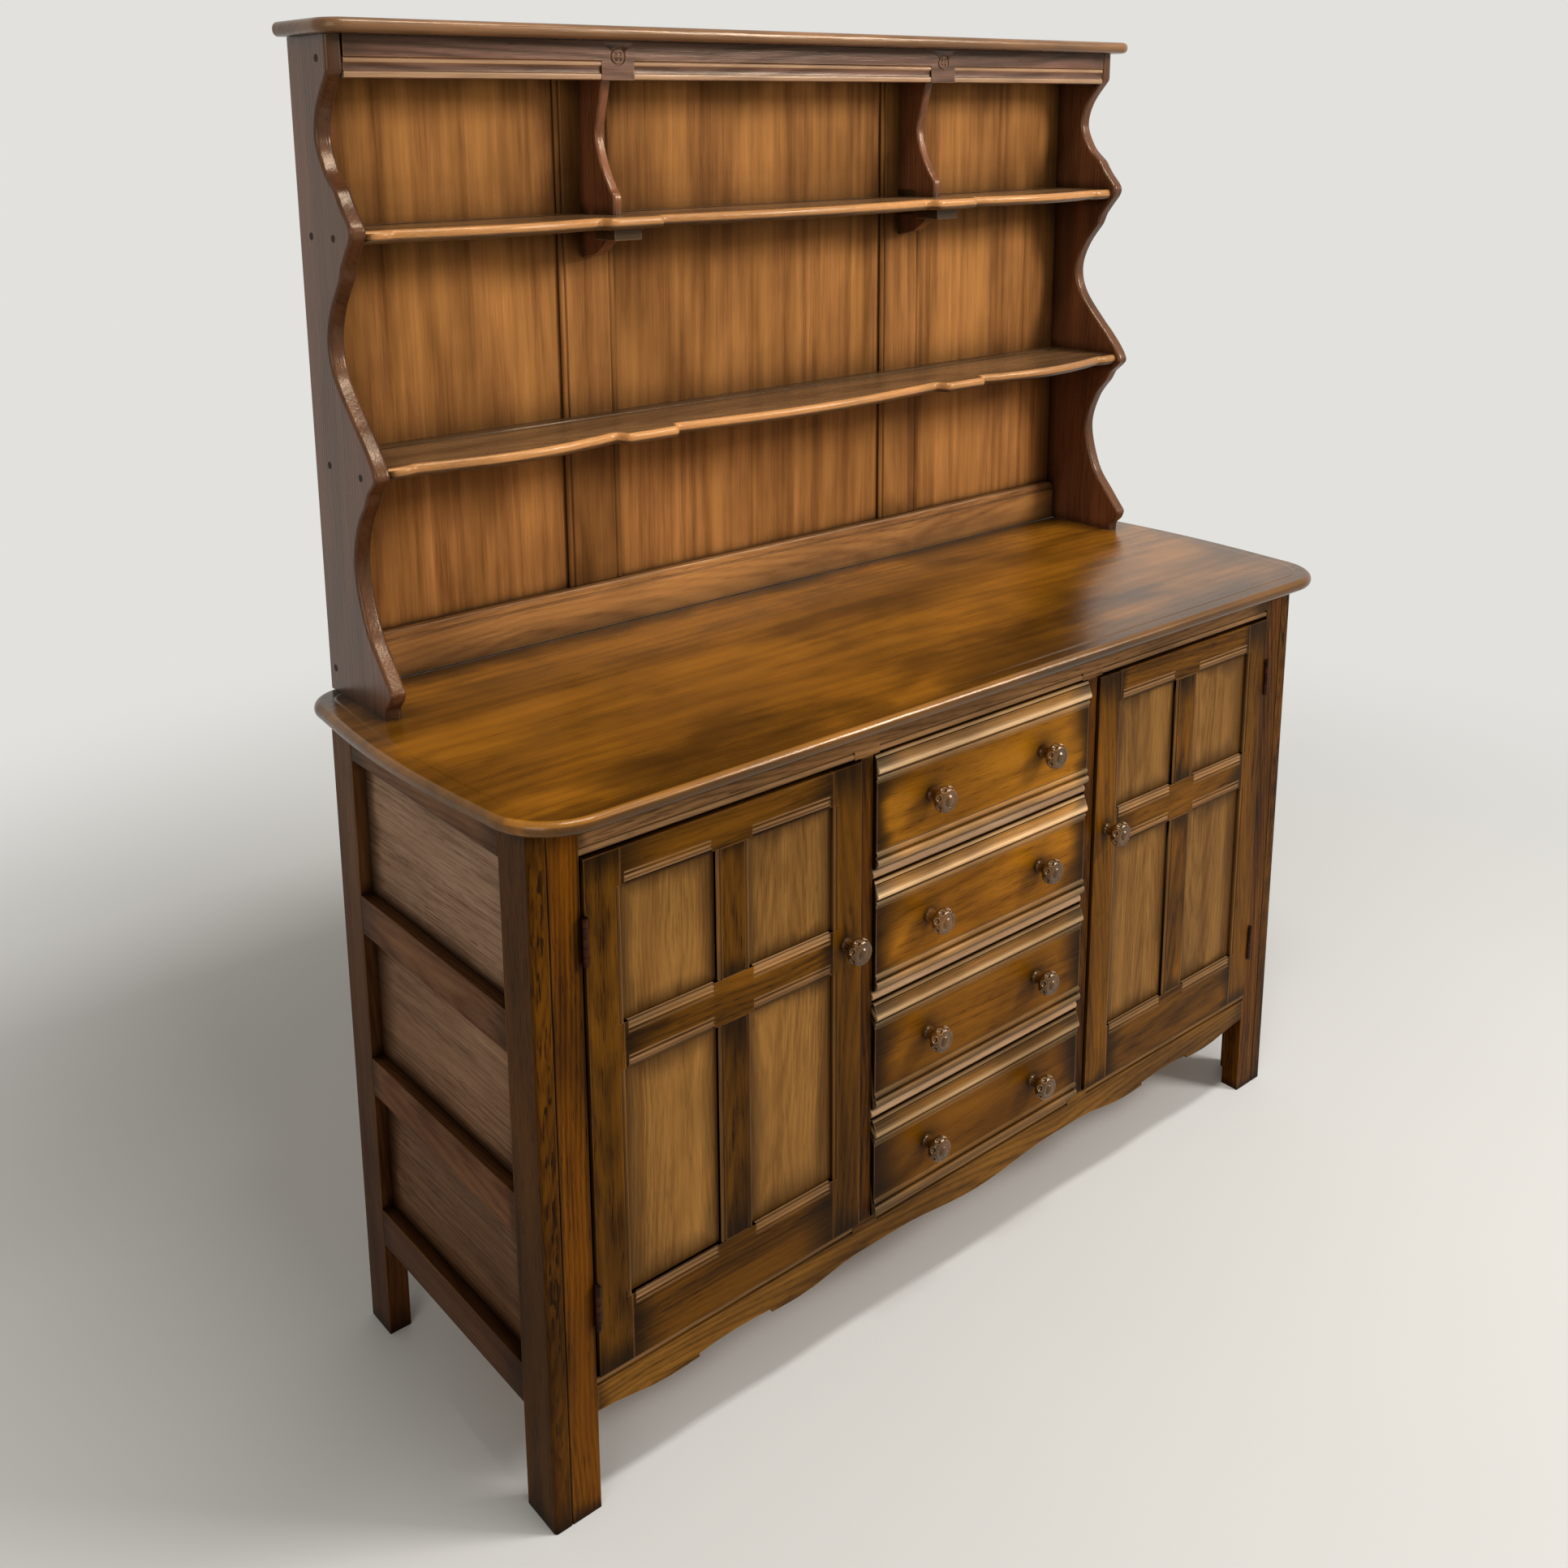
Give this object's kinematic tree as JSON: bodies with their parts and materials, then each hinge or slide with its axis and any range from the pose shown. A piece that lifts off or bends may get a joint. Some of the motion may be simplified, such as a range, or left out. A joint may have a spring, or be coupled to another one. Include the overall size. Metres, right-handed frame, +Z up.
{
  "type": "kitchen dresser",
  "caption": "Wooden kitchen dresser: base with panelled doors and moulded drawers on post legs, and an open plate rack with scalloped sides, bowed shelves and a cornice.",
  "frame": {"origin": "on the floor under the middle of the worktop, which is the middle of the overall size in X and Y", "axes": "+X from the left end to the right end as seen from the front, +Y from the front to the back, +Z up"},
  "size_m": [1.416, 0.51, 1.6235],
  "materials": {
    "worktop_wood": "waxed honey-brown elm, satin",
    "frame_wood": "stained mid to dark brown with antique shading, satin",
    "panel_wood": "lighter tan, satin",
    "drawer_wood": "golden brown, rubbed lighter on the mouldings, satin",
    "gallery_wood": "stained dark brown, rubbed lighter on the scalloped edges, satin",
    "backing_wood": "golden brown, satin",
    "inside_wood": "plain unstained board, matte",
    "knob_wood": "dark brown turned wood, semi-gloss",
    "hinge_steel": "dark browned steel"
  },
  "bodies": {
    "case": {"apron": "frame_wood", "back_post_left": "frame_wood", "back_post_right": "frame_wood", "base_back": "inside_wood", "base_floor": "inside_wood", "cornice": "gallery_wood", "divider_left": "gallery_wood", "divider_right": "gallery_wood", "drawer_rail_1": "frame_wood", "drawer_rail_2": "frame_wood", "drawer_rail_3": "frame_wood", "frieze": "gallery_wood", "front_post_left": "frame_wood", "front_post_right": "frame_wood", "gallery_back": "backing_wood", "gallery_muntin_left": "backing_wood", "gallery_muntin_right": "backing_wood", "gallery_side_left": "gallery_wood", "gallery_side_right": "gallery_wood", "inner_stile_left": "frame_wood", "inner_stile_right": "frame_wood", "partition_left": "inside_wood", "partition_right": "inside_wood", "shelf_lower": "gallery_wood", "shelf_upper": "gallery_wood", "side_panel_left": "panel_wood", "side_panel_right": "panel_wood", "side_rail_bottom_left": "frame_wood", "side_rail_bottom_right": "frame_wood", "side_rail_lower_left": "frame_wood", "side_rail_lower_right": "frame_wood", "side_rail_top_left": "frame_wood", "side_rail_top_right": "frame_wood", "side_rail_upper_left": "frame_wood", "side_rail_upper_right": "frame_wood", "top_rail": "frame_wood", "upstand": "gallery_wood", "worktop": "worktop_wood"},
    "left_door": {"door_frame_left": "frame_wood", "door_panel_left": "panel_wood", "hinge_left_top": "hinge_steel", "hinge_left_bottom": "hinge_steel", "door_knob_left": "knob_wood"},
    "right_door": {"door_frame_right": "frame_wood", "door_panel_right": "panel_wood", "hinge_right_top": "hinge_steel", "hinge_right_bottom": "hinge_steel", "door_knob_right": "knob_wood"},
    "drawer_box_1": {"drawer_1": "drawer_wood", "drawer_knob_1_left": "knob_wood", "drawer_knob_1_right": "knob_wood"},
    "drawer_box_2": {"drawer_2": "drawer_wood", "drawer_knob_2_left": "knob_wood", "drawer_knob_2_right": "knob_wood"},
    "drawer_box_3": {"drawer_3": "drawer_wood", "drawer_knob_3_left": "knob_wood", "drawer_knob_3_right": "knob_wood"},
    "drawer_box_4": {"drawer_4": "drawer_wood", "drawer_knob_4_left": "knob_wood", "drawer_knob_4_right": "knob_wood"}
  },
  "joints": [
    {"name": "left_door_hinge", "type": "hinge", "parent": "case", "child": "left_door", "pos_m": [-0.6065, -0.2105, 0.4775], "axis": [0, 0, -1], "range_deg": [0, 110]},
    {"name": "right_door_hinge", "type": "hinge", "parent": "case", "child": "right_door", "pos_m": [0.6065, -0.2105, 0.4775], "axis": [0, 0, 1], "range_deg": [0, 110]},
    {"name": "drawer_slide_1", "type": "slide", "parent": "case", "child": "drawer_box_1", "axis": [0, -1, 0], "range_m": [0, 0.3]},
    {"name": "drawer_slide_2", "type": "slide", "parent": "case", "child": "drawer_box_2", "axis": [0, -1, 0], "range_m": [0, 0.3]},
    {"name": "drawer_slide_3", "type": "slide", "parent": "case", "child": "drawer_box_3", "axis": [0, -1, 0], "range_m": [0, 0.3]},
    {"name": "drawer_slide_4", "type": "slide", "parent": "case", "child": "drawer_box_4", "axis": [0, -1, 0], "range_m": [0, 0.3]}
  ]
}
